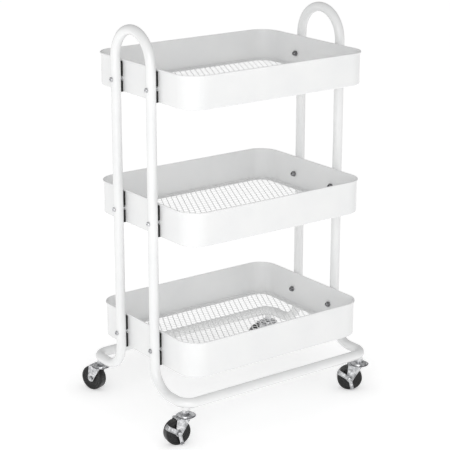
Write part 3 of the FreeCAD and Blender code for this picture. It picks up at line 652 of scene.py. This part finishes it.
# The camera looks at a point AIM_FROM_MIDDLE off the middle of the cart's box; angles are in
# degrees, and the lens and the sensor in millimetres
CAMERA_AZIMUTH = -36.26
CAMERA_ELEVATION = 17.17
CAMERA_DISTANCE = 3.0025
CAMERA_LENS = 122.98
CAMERA_SENSOR = 36.0
CAMERA_REACH = 100
AIM_FROM_MIDDLE = Vector((0.0005, -0.0120, -0.0325))
KEY_AZIMUTH = -44
KEY_ELEVATION = 13
KEY_DISTANCE = 2.6
KEY_SIZE = 1.6
KEY_POWER = 17
# The floor's glow rises from one strength to the other between these two distances from its middle;
# the weaker glow near the middle is a painted shadow round the cart's base
FLOOR_RADIUS = 400
FLOOR_NEAR = 0.16
FLOOR_FAR = 0.46
FLOOR_SHADOW_GLOW = 0.33
FLOOR_FAR_GLOW = 0.49
# The world's strength towards the key and away from it, and its factor straight overhead
WORLD_KEY_SIDE = 0.82
WORLD_FAR_SIDE = 0.42
WORLD_OVERHEAD = 0.85


def direction(azimuth, elevation):
    """Unit vector from the cart towards a viewer at that azimuth and elevation."""
    a, e = math.radians(azimuth), math.radians(elevation)
    return Vector((math.sin(a) * math.cos(e), -math.cos(a) * math.cos(e), math.sin(e)))


def add_camera():
    """The main camera, which looks at the cart from its front left corner."""
    camera = bpy.data.objects.new("camera", bpy.data.cameras.new("camera"))
    scene.collection.objects.link(camera)
    back = direction(CAMERA_AZIMUTH, CAMERA_ELEVATION)
    aim = (cad_low + cad_high) / 2 + AIM_FROM_MIDDLE
    camera.location = aim + back * CAMERA_DISTANCE
    camera.rotation_mode = "QUATERNION"
    camera.rotation_quaternion = (-back).to_track_quat("-Z", "Y")
    camera.data.lens = CAMERA_LENS
    camera.data.sensor_width = CAMERA_SENSOR
    camera.data.clip_end = CAMERA_REACH
    scene.camera = camera


def add_floor():
    """A wide pale floor under the wheels, whose glow rises with the distance from the cart, so that
    its dimmer middle is a painted shadow round the cart's base.
    """
    builder = bmesh.new()
    bmesh.ops.create_circle(builder, cap_ends=True, segments=96, radius=FLOOR_RADIUS)
    mesh = bpy.data.meshes.new("studio_floor")
    builder.to_mesh(mesh)
    builder.free()
    floor = bpy.data.objects.new("studio_floor", mesh)
    floor.location.z = cad_low.z
    scene.collection.objects.link(floor)
    shader = Shader(
        "pale studio floor", roughness=1, specular_ior_level=0, emission_color=(1, 1, 1, 1)
    )
    away = shader.tree.nodes.new("ShaderNodeVectorMath")
    away.operation = "LENGTH"
    # Weaker glow near the cart's middle: a painted shadow round its base
    glow = shader.tree.nodes.new("ShaderNodeMapRange")
    glow.interpolation_type = "SMOOTHSTEP"
    glow.inputs["From Min"].default_value = FLOOR_NEAR
    glow.inputs["From Max"].default_value = FLOOR_FAR
    glow.inputs["To Min"].default_value = FLOOR_SHADOW_GLOW
    glow.inputs["To Max"].default_value = FLOOR_FAR_GLOW
    shader.link(shader.place, away.inputs[0])
    shader.link(away.outputs["Value"], glow.inputs["Value"])
    shader.link(glow.outputs["Result"], shader.surface.inputs["Emission Strength"])
    shader.colour(shader.noise(0.5), (0.90, 0.90, 0.90), (0.91, 0.91, 0.91))
    mesh.materials.append(shader.material)


def add_area_light(name, azimuth, elevation, distance, size, power):
    """A soft square light that faces the cart's middle."""
    light = bpy.data.objects.new(name, bpy.data.lights.new(name, "AREA"))
    scene.collection.objects.link(light)
    back = direction(azimuth, elevation)
    light.location = (cad_low + cad_high) / 2 + back * distance
    light.rotation_mode = "QUATERNION"
    light.rotation_quaternion = (-back).to_track_quat("-Z", "Y")
    light.data.size = size
    light.data.energy = power


def add_world():
    """Soft white surroundings: brightest on the key's side, dimmer behind and a little overhead."""
    world = bpy.data.worlds.new("studio")
    scene.world = world
    world.use_nodes = True
    tree = world.node_tree
    place = tree.nodes.new("ShaderNodeTexCoord")
    toward_key = tree.nodes.new("ShaderNodeVectorMath")
    toward_key.operation = "DOT_PRODUCT"
    toward_key.inputs[1].default_value = direction(KEY_AZIMUTH, KEY_ELEVATION)
    side = tree.nodes.new("ShaderNodeMapRange")
    side.inputs["From Min"].default_value = -1
    side.inputs["To Min"].default_value = WORLD_FAR_SIDE
    side.inputs["To Max"].default_value = WORLD_KEY_SIDE
    split = tree.nodes.new("ShaderNodeSeparateXYZ")
    height = tree.nodes.new("ShaderNodeMapRange")
    height.inputs["To Min"].default_value = 1
    height.inputs["To Max"].default_value = WORLD_OVERHEAD
    strength = tree.nodes.new("ShaderNodeMath")
    strength.operation = "MULTIPLY"
    tree.links.new(place.outputs["Generated"], toward_key.inputs[0])
    tree.links.new(toward_key.outputs["Value"], side.inputs["Value"])
    tree.links.new(place.outputs["Generated"], split.inputs["Vector"])
    tree.links.new(split.outputs["Z"], height.inputs["Value"])
    tree.links.new(side.outputs["Result"], strength.inputs[0])
    tree.links.new(height.outputs["Result"], strength.inputs[1])
    tree.links.new(strength.outputs["Value"], tree.nodes["Background"].inputs["Strength"])
    tree.nodes["Background"].inputs["Color"].default_value = (1, 1, 1, 1)


# ---------------------------------------------------------------- the cart

scene.view_settings.view_transform = "Standard"
dress_cad_nodes()
for tier in TIERS:
    mesh_floor(tier)
for caster in CASTERS:
    wheel(caster)
    stamped_fork(caster)
    dished_cup(caster)
    if f"{caster}_brake_lever_tilt" in JOINTS:
        brake_lever(caster)

add_camera()
add_floor()
add_world()
add_area_light("key", KEY_AZIMUTH, KEY_ELEVATION, KEY_DISTANCE, KEY_SIZE, KEY_POWER)
